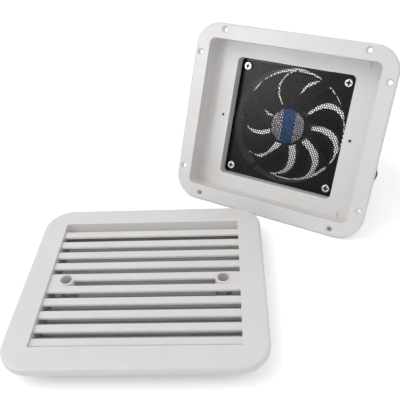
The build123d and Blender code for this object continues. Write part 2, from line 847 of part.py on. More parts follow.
lead_start = HOUSING.from_local_coords(Vector(lead_exit.X, lead_exit.Y, -lead_depth))
lead_heading = lead_plane(0).x_dir
lead_points = [
    lead_start,
    lead_start + lead_heading * lead_run_out,
    Vector(102, 172, 134.5),
    Vector(112, 171, 133),
    Vector(119.3, 167.3, 127),
    Vector(122, 161, 117.5),
    Vector(122.6, 147, 92),
    Vector(123.6, 138.5, 60),
    Vector(132.6, 131.5, 41.5),
    Vector(125, 134, 20),
    Vector(122.8, 142, 4.5),
    lead_end - coil_heading * coil_run_in,
    lead_end,
]
lead_radii = corner_radii(lead_points, lead_corner_share)

with BuildPart() as fan_lead:
    fan_lead_length = tube(lead_points, lead_radii, lead_diameter)
save(fan_lead, "fan_lead")

coil_steps = [step / 4 for step in range(4 * coil_turns + 1)]
coil_points = [coil_point(turns) for turns in coil_steps]
coil_headings = [
    (coil_point(turns + heading_step) - coil_point(turns - heading_step)).normalized() for turns in coil_steps
]
coil_headings[0] = coil_headings[-1] = coil_heading


def arc_pair(start, end, heading, last_heading):
    """Two arcs that leave one point and reach the next with given headings."""
    chord = end - start
    both = heading + last_heading
    bend = 2 * (1 - heading.dot(last_heading))
    reach = (sqrt(chord.dot(both) ** 2 + bend * chord.dot(chord)) - chord.dot(both)) / bend
    middle = (start + end + (heading - last_heading) * reach) / 2
    TangentArc(start, middle, tangent=heading)
    TangentArc(middle, end, tangent=chord - (heading + last_heading) * reach)


def least_gap(wire, diameter):
    """Least gap of a wound tube to itself, between points four diameters apart or more."""
    count = int(wire.length / (diameter / 4))
    points = [wire @ (index / count) for index in range(count + 1)]
    apart = int(4 * diameter / (wire.length / count))
    gaps = [(a - b).length for index, a in enumerate(points) for b in points[index + apart:]]
    return min(gaps) - diameter


with BuildPart() as fan_lead_coil:
    with BuildLine() as coil_route:
        Line(lead_end, coil_start)
        for step in range(len(coil_points) - 1):
            arc_pair(*coil_points[step:step + 2], *coil_headings[step:step + 2])
        Line(coil_end, tail_start)
    coil_wire = coil_route.wire()
    with BuildSketch(Plane(origin=lead_end, z_dir=coil_heading)):
        Circle(lead_diameter / 2)
    sweep(path=coil_wire)
save(fan_lead_coil, "fan_lead_coil")

with BuildPart() as plug_lead:
    tail_length = tube(tail_points, corner_radii(tail_points, lead_corner_share), lead_diameter)
save(plug_lead, "plug_lead")

# Plug at the end of the lead, flat on the floor
PLUG = Plane(
    origin=plug_start,
    x_dir=(-plug_heading.Y, plug_heading.X, 0),
    z_dir=plug_heading,
)
plug_pin_places = [(-plug_pin_spacing / 2, 0), (plug_pin_spacing / 2, 0)]

with BuildPart() as lead_plug:
    with BuildSketch(PLUG):
        RectangleRounded(plug_width, plug_height, plug_corner_radius)
    extrude(amount=plug_length)
    with BuildSketch(PLUG.offset(plug_length - plug_latch_length)):
        with Locations((0, (plug_height + plug_latch_height) / 2)):
            Rectangle(plug_latch_width, plug_latch_height)
    extrude(amount=plug_latch_length)
    with BuildSketch(PLUG.offset(plug_length - plug_pin_depth)):
        with Locations(*plug_pin_places):
            Circle(plug_cavity_radius)
    extrude(amount=plug_pin_depth, mode=Mode.SUBTRACT)
save(lead_plug, "lead_plug")

with BuildPart() as plug_pins:
    with BuildSketch(PLUG.offset(plug_length - plug_pin_depth)):
        with Locations(*plug_pin_places):
            Circle(plug_pin_radius)
    extrude(amount=plug_pin_length)
save(plug_pins, "plug_pins")

# Louvre cover, face up on the floor. One slat is a flat face with a rounded nose, from which a
# web slopes down
face_top = cover_rise - slat_drop
slat_web = slat_thickness * sqrt(2)
web_drop = face_top - slat_floor_gap
SLATS = Plane(origin=COVER.origin, x_dir=COVER.y_dir, z_dir=COVER.x_dir)
slat_span = louvre_mouth_width + louvre_box_wall


def slat_outline(middle):
    """Side view of one slat: face, nose and sloping web."""
    face_start = slat_face / 2
    nose_end = -face_start - slat_nose_radius
    lip_end = -slat_nose_radius - slat_nose_lip
    web_top = face_start + slat_step_reach
    web_foot = web_top + web_drop - slat_step
    under_web = web_top + slat_thickness - slat_step - slat_web
    corners = [
        (nose_end, -slat_nose_radius),
        (nose_end, lip_end),
        (nose_end + slat_lip_thickness, lip_end),
        (nose_end + slat_lip_thickness, -slat_thickness),
        (under_web, -slat_thickness),
        (web_foot - slat_web, -web_drop),
        (web_foot, -web_drop),
        (web_top, -slat_step),
        (face_start, -slat_step),
        (face_start, 0),
        (-face_start, 0),
    ]
    placed = [Vector(middle + x, face_top + y) for x, y in corners]
    with BuildLine() as outline:
        Polyline(*placed)
        RadiusArc(placed[-1], placed[0], -slat_nose_radius)
    make_face(outline.edges())


with BuildPart() as slats:
    with BuildSketch(SLATS):
        for slat in range(slat_count):
            slat_outline(louvre_mouth_height / 2 - first_slat_gap - slat * slat_pitch)
    extrude(amount=slat_span / 2, both=True)
    with BuildSketch(COVER):
        Rectangle(slat_span, louvre_mouth_height + louvre_box_wall)
    extrude(amount=cover_rise, mode=Mode.INTERSECT)

with BuildPart() as louvre_cover:
    with BuildSketch(cover_level(cover_rise - rim_depth)):
        RectangleRounded(cover_width, cover_height, cover_corner_radius)
    extrude(amount=rim_depth)
    outer_rim = louvre_cover.faces().sort_by(FACE_UP)[-1].edges()
    fillet(outer_rim, radius=cover_edge_radius)
    with BuildSketch(cover_level(cover_rise - rim_depth)):
        RectangleRounded(
            cover_width - 2 * rim_wall, cover_height - 2 * rim_wall, cover_corner_radius - rim_wall
        )
    extrude(amount=rim_depth - rim_plate, mode=Mode.SUBTRACT)
    with BuildSketch(COVER):
        RectangleRounded(
            louvre_box_width, louvre_box_height, louvre_mouth_radius + louvre_box_wall
        )
    extrude(amount=cover_rise - rim_plate)
    with BuildSketch(COVER):
        RectangleRounded(louvre_mouth_width, louvre_mouth_height, louvre_mouth_radius)
    extrude(amount=cover_rise, mode=Mode.SUBTRACT)
    add(slats.part)
    with BuildSketch(cover_level(screw_boss_floor)):
        with Locations(*pilot_points):
            Circle(screw_boss_radius)
    extrude(amount=face_top - screw_boss_floor)
    pad_reach = (slat_span - screw_boss_spacing) / 2
    pad_places = [(x * (screw_boss_spacing + pad_reach) / 2, 0) for x in (-1, 1)]
    with BuildSketch(cover_level(face_top - slat_thickness)):
        with Locations(*pad_places):
            Rectangle(pad_reach, 2 * screw_boss_radius)
    extrude(amount=slat_thickness)
    with BuildSketch(cover_level(face_top)):
        with Locations(*pilot_points):
            Circle(screw_head_well_radius + well_ring_width)
    extrude(amount=well_ring_height)
    with BuildSketch(cover_level(screw_boss_floor + screw_boss_base)):
        with Locations(*pilot_points):
            Circle(screw_head_well_radius)
    extrude(amount=cover_rise, mode=Mode.SUBTRACT)
    with BuildSketch(COVER):
        with Locations(*pilot_points):
            Circle(screw_clearance_radius)
    extrude(amount=cover_rise, mode=Mode.SUBTRACT)
save(louvre_cover, "louvre_cover")

print("lean", round(lean, 2), "degrees")
tail_radii = corner_radii(tail_points, lead_corner_share)
print("radii of the lead's corners", [round(radius, 1) for radius in lead_radii + tail_radii])
print("volume of the lead over section times length")
print(fan_lead.part.volume / (pi * lead_diameter ** 2 / 4 * fan_lead_length))
print(fan_lead_coil.part.volume / (pi * lead_diameter ** 2 / 4 * coil_wire.length))
print("least gap of the coil to itself", round(least_gap(coil_wire, lead_diameter), 2))
print("lead from the duct to the plug", round(fan_lead_length + coil_wire.length + tail_length))
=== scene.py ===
"""Looks of the caravan wall exhaust fan: finishes, perforated guard, twisted lead and studio.

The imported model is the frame, in metres: the wall housing with its fan leans back on the floor and
the louvre cover lies face up in front of it. Places on the housing are given as across the flange,
up the flange and below its front face. Sizes are in millimetres where a class says so.
"""

import json
import logging
from dataclasses import dataclass
from enum import Enum
from math import cos, pi, radians, sin, sqrt, tau
from typing import Protocol

import bpy
import numpy as np
from mathutils import Matrix, Vector


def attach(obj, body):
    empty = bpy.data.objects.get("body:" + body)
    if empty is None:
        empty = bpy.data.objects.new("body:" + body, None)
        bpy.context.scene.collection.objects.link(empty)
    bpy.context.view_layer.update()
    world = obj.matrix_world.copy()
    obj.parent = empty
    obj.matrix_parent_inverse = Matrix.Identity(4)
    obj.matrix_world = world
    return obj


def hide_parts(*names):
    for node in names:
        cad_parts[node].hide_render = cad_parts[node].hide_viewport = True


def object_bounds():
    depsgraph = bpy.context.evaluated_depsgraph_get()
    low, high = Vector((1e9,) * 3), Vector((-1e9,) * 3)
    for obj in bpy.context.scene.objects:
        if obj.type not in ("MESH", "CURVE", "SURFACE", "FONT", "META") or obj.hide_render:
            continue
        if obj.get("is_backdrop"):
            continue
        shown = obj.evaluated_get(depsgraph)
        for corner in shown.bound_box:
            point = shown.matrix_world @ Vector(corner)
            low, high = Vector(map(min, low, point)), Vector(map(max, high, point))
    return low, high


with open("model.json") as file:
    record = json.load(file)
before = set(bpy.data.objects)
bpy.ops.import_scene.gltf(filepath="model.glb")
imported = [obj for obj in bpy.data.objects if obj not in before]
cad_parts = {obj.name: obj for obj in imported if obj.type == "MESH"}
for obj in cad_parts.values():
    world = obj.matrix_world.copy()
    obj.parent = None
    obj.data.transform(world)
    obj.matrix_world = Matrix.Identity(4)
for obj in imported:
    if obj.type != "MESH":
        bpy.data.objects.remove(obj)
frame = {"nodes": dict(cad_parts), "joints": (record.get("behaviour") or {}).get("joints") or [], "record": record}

log = logging.getLogger("exhaust_fan")
MM = 0.001
HEXAGON = 6
Inputs = dict[str | int, object]
Place = tuple[float, float, float]


class Body(Enum):
    """The three bodies that pieces ride on."""

    HOUSING = "housing"
    ROTOR = "rotor"
    COVER = "cover"


class LampUse(Enum):
    """What a lamp does: it lights the object, or it only shows as a highlight on it."""

    LIGHT = "light"
    HIGHLIGHT = "highlight"


def nodes_of(body: Body) -> list[str]:
    """Names of the CAD nodes that ride on a body, in order."""
    return sorted(frame["record"]["behaviour"]["bodies"][body.value])


def linear(colour: str) -> tuple[float, float, float, float]:
    """Turn an sRGB hex colour into linear light.

    Args:
        colour: the colour as #RRGGBB.

    Returns:
        Red, green, blue and an alpha of 1. A channel c gives c / 12.92 below 0.04045, and
        ((c + 0.055) / 1.055) to the power 2.4 above it.
    """
    parts = [int(colour[place:place + 2], 16) / 255 for place in (1, 3, 5)]
    light = [c / 12.92 if c < 0.04045 else ((c + 0.055) / 1.055) ** 2.4 for c in parts]
    return (*light, 1.0)


@dataclass(frozen=True)
class Face:
    """A flat face of the object: its middle, and its directions across, up and out."""

    middle: Vector
    across: Vector
    up: Vector
    out: Vector

    def turned(self) -> Matrix:
        """Rotation whose rows are the face's directions, so it takes the frame to the face."""
        return Matrix((self.across, self.up, self.out))

    def to_frame(self, points: np.ndarray) -> np.ndarray:
        """Carry rows of across, up and out to the frame: the middle plus each along its direction."""
        return np.array(self.middle) + points @ np.array(self.turned())

    def spun(self, angle: float) -> "Face":
        """The same face with its across and up directions turned in its plane, in radians."""
        spin = Matrix.Rotation(angle, 3, self.out)
        return Face(self.middle, spin @ self.across, spin @ self.up, self.out)


def housing_face() -> Face:
    """Front face of the flange, read from the rotor's axis.

    Returns:
        The face whose out direction is the rotor's axis and whose middle lies on that axis, in
        front of the joint by the joint's depth below the flange.
    """
    joint_depth = 46.6 * MM
    spin = next(joint for joint in frame["joints"] if joint["name"] == "rotor_spin")
    out = Vector(spin["axis"]).normalized()
    across = Vector((1, 0, 0))
    return Face(Vector(spin["pos_m"]) + out * joint_depth, across, out.cross(across), out)


def make_piece(
        name: str, points: np.ndarray, faces: np.ndarray | list[list[int]], smooth: bool
) -> bpy.types.Object:
    """Make a piece from its points and faces, at the origin.

    Args:
        name: the piece's name.
        points: rows of x, y and z in the frame.
        faces: rows of point numbers, counter-clockwise seen from outside.
        smooth: whether its faces are shaded as one curved surface.

    Returns:
        The linked object.
    """
    mesh = bpy.data.meshes.new(name)
    rows = faces.tolist() if isinstance(faces, np.ndarray) else faces
    mesh.from_pydata(points.tolist(), [], rows)
    mesh.polygons.foreach_set("use_smooth", [smooth] * len(mesh.polygons))
    mesh.update()
    piece = bpy.data.objects.new(name, mesh)
    bpy.context.scene.collection.objects.link(piece)
    return piece


def tube_faces(stations: int, sides: int, first: int = 0) -> list[list[int]]:
    """Faces of a round tube with both ends closed.

    Args:
        stations: how many rings the tube has.
        sides: how many points each ring has.
        first: the number of its first point.

    Returns:
        One square between each ring point, its neighbour round the ring and the two after them
        along the tube, and one cap at each end.
    """
    ring, side = np.meshgrid(np.arange(stations - 1), np.arange(sides), indexing="ij")
    here = ring * sides + side
    beside = ring * sides + (side + 1) % sides
    squares = np.stack([here, beside, beside + sides, here + sides], axis=-1).reshape(-1, 4)
    start_cap = np.arange(sides)[::-1]
    end_cap = (stations - 1) * sides + np.arange(sides)
    return [row.tolist() for row in (*(squares + first), start_cap + first, end_cap + first)]


def add_node(
        tree: bpy.types.NodeTree, kind: str, inputs: Inputs | None = None, **settings: object
) -> bpy.types.Node:
    """Add one node with its settings, values and links.

    Args:
        tree: the material's or the world's node tree.
        kind: the node's type.
        inputs: a value or an output socket for each input, by name or number.
        settings: the node's own properties.

    Returns:
        The node.
    """
    node = tree.nodes.new(kind)
    for name, value in settings.items():
        setattr(node, name, value)
    for name, value in (inputs or {}).items():
        if isinstance(value, bpy.types.NodeSocket):
            tree.links.new(value, node.inputs[name])
        else:
            node.inputs[name].default_value = value
    return node


class Shade:
    """A new node material, its shader, and the place of each point on the object."""

    def __init__(self, name: str, colour: str, roughness: float, metallic: float = 0.0) -> None:
        """Start the material.

        Args:
            name: the material's name.
            colour: its sRGB colour, which a link to Base Color may later vary.
            roughness: its roughness, which a link may later vary.
            metallic: 1 for a metal.
        """
        self.material = bpy.data.materials.new(name)
        self.material.use_nodes = True
        self.material.diffuse_color = linear(colour)
        self.tree = self.material.node_tree
        self.tree.nodes.clear()
        self.shader = self.add("ShaderNodeBsdfPrincipled", {
            "Base Color": linear(colour), "Roughness": roughness, "Metallic": metallic})
        self.add("ShaderNodeOutputMaterial", {"Surface": self.shader.outputs["BSDF"]})
        self.place = self.add("ShaderNodeTexCoord").outputs["Object"]

    def add(self, kind: str, inputs: Inputs | None = None, **settings: object) -> bpy.types.Node:
        """Add one node to this material, as add_node does."""
        return add_node(self.tree, kind, inputs, **settings)

    def link(self, output: bpy.types.NodeSocket, name: str) -> None:
        """Link an output to one of the shader's inputs."""
        self.tree.links.new(output, self.shader.inputs[name])

    def on_face(self, face: Face) -> bpy.types.NodeSocket:
        """Places measured across, up and out of a face, in metres."""
        turned = face.turned()
        return self.add("ShaderNodeMapping", {
            "Vector": self.place, "Location": -(turned @ face.middle),
            "Rotation": turned.to_euler("XYZ")}).outputs["Vector"]


def per_mm(size: float) -> float:
    """Texture scale at which one feature is this many millimetres wide."""
    return 1 / (size * MM)


class Finish(Protocol):
    """What a surface is made of and how it was worked."""

    def make(self) -> bpy.types.Material:
        """Build the material."""


@dataclass(frozen=True)
class PinMarks:
    """Round witness marks that the mould's four ejector pins leave in a face, in millimetres."""

    face: Face
    across: float = 52.0
    up: float = 67.5
    radius: float = 3.0
    width: float = 0.5
    depth: float = 0.08

    def press(self, shade: Shade, fine: bpy.types.NodeSocket) -> None:
        """Press the marks into a surface.

        Args:
            shade: the surface's material.
            fine: the surface's own relief. A mark is a ring where the distance from the pin's
                middle, mirrored across and up the face, comes within half a ring's width of the
                pin's radius.
        """
        place = shade.on_face(self.face)
        mirrored = shade.add("ShaderNodeVectorMath", {0: place}, operation="ABSOLUTE")
        flat = shade.add("ShaderNodeVectorMath", {
            0: mirrored.outputs[0], 1: (1, 1, 0)}, operation="MULTIPLY")
        away = shade.add("ShaderNodeVectorMath", {
            0: flat.outputs[0], 1: (self.across * MM, self.up * MM, 0)}, operation="DISTANCE")
        ring = shade.add("ShaderNodeMath", {
            0: away.outputs["Value"], 1: self.radius * MM, 2: self.width * MM / 2}, operation="COMPARE")
        pressed = shade.add("ShaderNodeBump", {
            "Height": ring.outputs[0], "Distance": self.depth * MM, "Strength": 0.5, "Normal": fine},
            invert=True)
        shade.link(pressed.outputs[0], "Normal")


@dataclass(frozen=True)
class MouldedAbs:
    """White ABS, injection moulded in a spark-eroded steel mould.

    The eroded mould leaves a fine grain that spreads each highlight into a satin sheen. The plastic
    is a little yellower and duller where it flowed last, and thick ribs behind a face leave it
    slightly hollow over a few centimetres. Sizes are in millimetres.
    """

    name: str
    marks: PinMarks | None = None
    colour: str = "#E1E0DF"
    late_colour: str = "#DBD8D6"
    roughness: float = 0.38
    glossier: float = 0.05
    duller: float = 0.06
    flow: float = 38.0
    sink: float = 26.0
    sink_depth: float = 0.25
    grain: float = 0.55
    grain_depth: float = 0.02

    def make(self) -> bpy.types.Material:
        """Build the material.

        Returns:
            The finished material. The real grain is about 0.1 mm wide and is drawn at half a
            millimetre, so that it shows.
        """
        shade = Shade(self.name, self.colour, self.roughness)
        flow = shade.add("ShaderNodeTexNoise", {
            "Vector": shade.place, "Scale": per_mm(self.flow), "Detail": 2.0, "Distortion": 0.6})
        tint = shade.add("ShaderNodeMix", {
            0: flow.outputs[0], 6: linear(self.colour), 7: linear(self.late_colour)}, data_type="RGBA")
        shade.link(tint.outputs[2], "Base Color")
        gloss = shade.add("ShaderNodeMapRange", {
            0: flow.outputs[0], 3: self.roughness - self.glossier, 4: self.roughness + self.duller})
        shade.link(gloss.outputs[0], "Roughness")
        grain = shade.add("ShaderNodeTexNoise", {
            "Vector": shade.place, "Scale": per_mm(self.grain), "Detail": 2.0, "Roughness": 0.6})
        hollow = shade.add("ShaderNodeTexNoise", {
            "Vector": shade.place, "Scale": per_mm(self.sink), "Detail": 0.0})
        broad = shade.add("ShaderNodeBump", {
            "Height": hollow.outputs[0], "Distance": self.sink_depth * MM, "Strength": 0.5})
        fine = shade.add("ShaderNodeBump", {
            "Height": grain.outputs[0], "Distance": self.grain_depth * MM, "Strength": 0.6,
            "Normal": broad.outputs[0]})
        shade.link(fine.outputs[0], "Normal")
        if self.marks:
            self.marks.press(shade, fine.outputs[0])
        return shade.material


@dataclass(frozen=True)
class GrainedCoat:
    """A moulding, coat or resin whose look is its grain.

    The grain breaks the highlight up, and slow changes of gloss show how the mould or the spray
    ran. Sizes are in millimetres.
    """

    name: str
    colour: str
    light_colour: str
    roughness: float
    roughness_spread: float
    grain: float
    grain_depth: float
    patch: float
    specular: float = 0.5

    def make(self) -> bpy.types.Material:
        """Build the material.

        Returns:
            The finished material. Noise at the patch size varies its colour and gloss, and noise at
            the grain size its relief.
        """
        shade = Shade(self.name, self.colour, self.roughness)
        shade.shader.inputs["Specular IOR Level"].default_value = self.specular
        patch = shade.add("ShaderNodeTexNoise", {
            "Vector": shade.place, "Scale": per_mm(self.patch), "Detail": 3.0})
        tint = shade.add("ShaderNodeMix", {
            0: patch.outputs[0], 6: linear(self.colour), 7: linear(self.light_colour)},
            data_type="RGBA")
        shade.link(tint.outputs[2], "Base Color")
        gloss = shade.add("ShaderNodeMapRange", {
            0: patch.outputs[0], 3: self.roughness - self.roughness_spread,
            4: self.roughness + self.roughness_spread})
        shade.link(gloss.outputs[0], "Roughness")
        grain = shade.add("ShaderNodeTexNoise", {
            "Vector": shade.place, "Scale": per_mm(self.grain), "Detail": 2.0})
        bump = shade.add("ShaderNodeBump", {
            "Height": grain.outputs[0], "Distance": self.grain_depth * MM, "Strength": 0.8})
        shade.link(bump.outputs[0], "Normal")
        return shade.material


@dataclass(frozen=True)
class RecessShade:
    """Painted shade in the driving recesses of four screws, mirrored across and up a face, in millimetres."""

    face: Face
    spacing: float = 105.0
    radius: float = 2.65
    middle_depth: float = 31.2
    reach: float = 0.95
    # colour of the painted shade in the recesses
    colour: str = "#2B2A29"

    def paint_shade(self, shade: Shade, metal: bpy.types.NodeSocket) -> None:
        """Paint shade into the recesses, because light hardly reaches into them.

        Args:
            shade: the screws' material.
            metal: its colour elsewhere. A point is in a recess where its distance from the screw's
                axis is under the recess's radius and its depth within reach of the middle depth.
        """
        place = shade.on_face(self.face)
        mirrored = shade.add("ShaderNodeVectorMath", {0: place}, operation="ABSOLUTE")
        flat = shade.add("ShaderNodeVectorMath", {
            0: mirrored.outputs[0], 1: (1, 1, 0)}, operation="MULTIPLY")
        half = self.spacing / 2 * MM
        away = shade.add("ShaderNodeVectorMath", {
            0: flat.outputs[0], 1: (half, half, 0)}, operation="DISTANCE")
        near = shade.add("ShaderNodeMath", {
            0: away.outputs["Value"], 1: self.radius * MM}, operation="LESS_THAN")
        parts = shade.add("ShaderNodeSeparateXYZ", {0: place})
        deep = shade.add("ShaderNodeMath", {
            0: parts.outputs["Z"], 1: -self.middle_depth * MM, 2: self.reach * MM}, operation="COMPARE")
        inside = shade.add("ShaderNodeMath", {
            0: near.outputs[0], 1: deep.outputs[0]}, operation="MULTIPLY")
        # painted shade: the recess colour replaces the metal's colour inside each recess
        tint = shade.add("ShaderNodeMix", {
            0: inside.outputs[0], 6: metal, 7: linear(self.colour)}, data_type="RGBA")
        shade.link(tint.outputs[2], "Base Color")


@dataclass(frozen=True)
class TurnedMetal:
    """A metal turned, ground or rolled round an axis.

    The tool leaves fine rings round the axis, which draw the highlight out across them, and a thin
    film of oxide dulls it in patches. Real rings are about 0.1 mm apart and are drawn wider, so that
    they show. Sizes are in millimetres.
    """

    name: str
    face: Face
    colour: str
    dull_colour: str
    roughness: float
    ring: float
    ring_depth: float
    roughness_spread: float = 0.05
    film: float = 3.5
    # painted shade for the screws' driving recesses, when given
    recesses: RecessShade | None = None

    def make(self) -> bpy.types.Material:
        """Build the material.

        Returns:
            The finished material. Its rings are a wave of the distance from the face's axis, a
            little broken by noise.
        """
        shade = Shade(self.name, self.colour, self.roughness, metallic=1.0)
        place = shade.on_face(self.face)
        rings = shade.add("ShaderNodeTexWave", {
            "Vector": place, "Scale": per_mm(self.ring) / tau, "Distortion": 1.2, "Detail": 2.0},
            wave_type="RINGS", rings_direction="Z")
        film = shade.add("ShaderNodeTexNoise", {
            "Vector": place, "Scale": per_mm(self.film), "Detail": 3.0})
        tint = shade.add("ShaderNodeMix", {
            0: film.outputs[0], 6: linear(self.colour), 7: linear(self.dull_colour)}, data_type="RGBA")
        shade.link(tint.outputs[2], "Base Color")
        gloss = shade.add("ShaderNodeMapRange", {
            0: rings.outputs["Fac"], 3: self.roughness - self.roughness_spread,
            4: self.roughness + self.roughness_spread})
        shade.link(gloss.outputs[0], "Roughness")
        bump = shade.add("ShaderNodeBump", {
            "Height": rings.outputs["Fac"], "Distance": self.ring_depth * MM, "Strength": 0.6})
        shade.link(bump.outputs[0], "Normal")
        # paint shade into the screws' driving recesses
        if self.recesses:
            self.recesses.paint_shade(shade, tint.outputs[2])
        return shade.material


@dataclass(frozen=True)
class LayeredStack:
    """Metal layers side by side along an axis: punched laminations, or turns of wound wire.

    Each layer's edge catches the light by itself, so the stack shows as fine parallel lines. Sizes
    are in millimetres.
    """

    name: str
    face: Face
    colour: str
    line_colour: str
    roughness: float
    layer: float
    layer_depth: float

    def make(self) -> bpy.types.Material:
        """Build the material.

        Returns:
            The finished material. Its lines are a sine wave along the axis, one period to a layer.
        """
        shade = Shade(self.name, self.colour, self.roughness, metallic=1.0)
        lines = shade.add("ShaderNodeTexWave", {
            "Vector": shade.on_face(self.face), "Scale": per_mm(self.layer) / tau, "Distortion": 0.15},
            wave_type="BANDS", bands_direction="Z", wave_profile="SIN")
        tint = shade.add("ShaderNodeMix", {
            0: lines.outputs["Fac"], 6: linear(self.line_colour), 7: linear(self.colour)},
            data_type="RGBA")
        shade.link(tint.outputs[2], "Base Color")
        bump = shade.add("ShaderNodeBump", {
            "Height": lines.outputs["Fac"], "Distance": self.layer_depth * MM, "Strength": 0.9})
        shade.link(bump.outputs[0], "Normal")
        return shade.material


@dataclass(frozen=True)
class PrintedFilm:
    """Silver polyester film with one plain blue stripe printed up it.

    The film is cast smooth and backed with metal, so it is bright and slightly streaked. The clear
    ink tints it to a deep, glossy blue band. Sizes are in millimetres.
    """

    name: str
    face: Face
    silver: str = "#C4C0C9"
    shadow_silver: str = "#A9A5AF"
    blue: str = "#2666A4"
    deep_blue: str = "#1A4F88"
    roughness: float = 0.26
    metallic: float = 0.85
    half_width: float = 6.45
    middle_across: float = 0.3
    lean: float = 0.022
    streak: float = 4.0
    ink_depth: float = 0.02

    def make(self) -> bpy.types.Material:
        """Build the material.

        Returns:
            The finished material. The stripe is where the distance across the face from a leaning
            middle line is under half its width.
        """
        shade = Shade(self.name, self.silver, self.roughness, self.metallic)
        place = shade.on_face(self.face)
        parts = shade.add("ShaderNodeSeparateXYZ", {0: place})
        line = shade.add("ShaderNodeMath", {
            0: parts.outputs["Y"], 1: self.lean, 2: parts.outputs["X"]}, operation="MULTIPLY_ADD")
        stripe = shade.add("ShaderNodeMath", {
            0: line.outputs[0], 1: self.middle_across * MM, 2: self.half_width * MM},
            operation="COMPARE")
        streaks = shade.add("ShaderNodeTexNoise", {
            "Vector": place, "Scale": per_mm(self.streak), "Detail": 3.0})
        film = shade.add("ShaderNodeMix", {
            0: streaks.outputs[0], 6: linear(self.silver), 7: linear(self.shadow_silver)},
            data_type="RGBA")
        ink = shade.add("ShaderNodeMix", {
            0: streaks.outputs[0], 6: linear(self.blue), 7: linear(self.deep_blue)}, data_type="RGBA")
        colour = shade.add("ShaderNodeMix", {
            0: stripe.outputs[0], 6: film.outputs[2], 7: ink.outputs[2]}, data_type="RGBA")
        shade.link(colour.outputs[2], "Base Color")
        bump = shade.add("ShaderNodeBump", {
            "Height": stripe.outputs[0], "Distance": self.ink_depth * MM, "Strength": 0.5})
        shade.link(bump.outputs[0], "Normal")
        return shade.material


def press_strands(shade: Shade) -> None:
    """Let the strands of a wire press through its soft insulation.

    Args:
        shade: the insulation's material. Its relief is a noise as wide as a strand.
    """
    width, depth = 0.9, 0.04
    strands = shade.add("ShaderNodeTexNoise", {
        "Vector": shade.place, "Scale": per_mm(width), "Detail": 1.0})
    bump = shade.add("ShaderNodeBump", {
        "Height": strands.outputs[0], "Distance": depth * MM, "Strength": 0.5})
    shade.link(bump.outputs[0], "Normal")


@dataclass(frozen=True)
class PvcInsulation:
    """Soft PVC drawn over stranded wire.

    It is glossy and slightly wavy, because the strands under it press through, and dust dulls it in
    places. Sizes are in millimetres.
    """

    name: str
    colour: str
    dusty_colour: str
    roughness: float = 0.33
    dust: float = 7.0
    most_dust: float = 0.6

    def make(self) -> bpy.types.Material:
        """Build the material.

        Returns:
            The finished material. Dust lies only where the noise is high.
        """
        shade = Shade(self.name, self.colour, self.roughness)
        dust = shade.add("ShaderNodeTexNoise", {
            "Vector": shade.place, "Scale": per_mm(self.dust), "Detail": 3.0})
        faint = shade.add("ShaderNodeMapRange", {
            0: dust.outputs[0], 1: 0.45, 2: 0.8, 3: 0.0, 4: self.most_dust})
        tint = shade.add("ShaderNodeMix", {
            0: faint.outputs[0], 6: linear(self.colour), 7: linear(self.dusty_colour)},
            data_type="RGBA")
        shade.link(tint.outputs[2], "Base Color")
        press_strands(shade)
        return shade.material


@dataclass(frozen=True)
class PairedInsulation:
    """Red and black PVC, drawn over wire, of the two leads that lie side by side in the wide strut.

    The two glossy colours meet in one straight line. Sizes are in millimetres.
    """

    name: str
    face: Face
    split: float
    red: str = "#6E1917"
    black: str = "#141315"
    roughness: float = 0.35

    def make(self) -> bpy.types.Material:
        """Build the material.

        Returns:
            The finished material, red beyond the line between the two leads and black before it.
        """
        shade = Shade(self.name, self.red, self.roughness)
        parts = shade.add("ShaderNodeSeparateXYZ", {0: shade.on_face(self.face)})
        beyond = shade.add("ShaderNodeMath", {
            0: parts.outputs["Y"], 1: self.split * MM}, operation="GREATER_THAN")
        colour = shade.add("ShaderNodeMix", {
            0: beyond.outputs[0], 6: linear(self.black), 7: linear(self.red)}, data_type="RGBA")
        shade.link(colour.outputs[2], "Base Color")
        press_strands(shade)
        return shade.material


@dataclass(frozen=True)
class PrintedBoard:
    """Glass epoxy board with green solder mask over its copper tracks.

    The mask is thin, so copper under it shows lighter and stands a little proud. Sizes are in
    millimetres.
    """

    name: str
    face: Face
    mask: str = "#1E5A34"
    track: str = "#2F7C48"
    roughness: float = 0.3
    track_spacing: float = 2.6
    track_depth: float = 0.035

    def make(self) -> bpy.types.Material:
        """Build the material.

        Returns:
            The finished material. Its tracks follow the borders of cells a few millimetres wide.
        """
        shade = Shade(self.name, self.mask, self.roughness)
        cells = shade.add("ShaderNodeTexVoronoi", {
            "Vector": shade.on_face(self.face), "Scale": per_mm(self.track_spacing)},
            feature="DISTANCE_TO_EDGE")
        track = shade.add("ShaderNodeMapRange", {
            0: cells.outputs["Distance"], 1: 0.1, 2: 0.16, 3: 1.0, 4: 0.0})
        colour = shade.add("ShaderNodeMix", {
            0: track.outputs[0], 6: linear(self.mask), 7: linear(self.track)}, data_type="RGBA")
        shade.link(colour.outputs[2], "Base Color")
        bump = shade.add("ShaderNodeBump", {
            "Height": track.outputs[0], "Distance": self.track_depth * MM, "Strength": 0.7})
        shade.link(bump.outputs[0], "Normal")
        return shade.material


def dress(finish: Finish, *nodes: str) -> None:
    """Give CAD nodes one finish, in every one of their material slots, and report it.

    Args:
        finish: the finish.
        nodes: the nodes' names.
    """
    material = finish.make()
    for piece in (frame["nodes"][node] for node in nodes):
        if not piece.material_slots:
            piece.data.materials.append(material)
        for place in piece.material_slots:
            place.material = material
    log.info("dressed %s with %s", ", ".join(nodes), material.name)


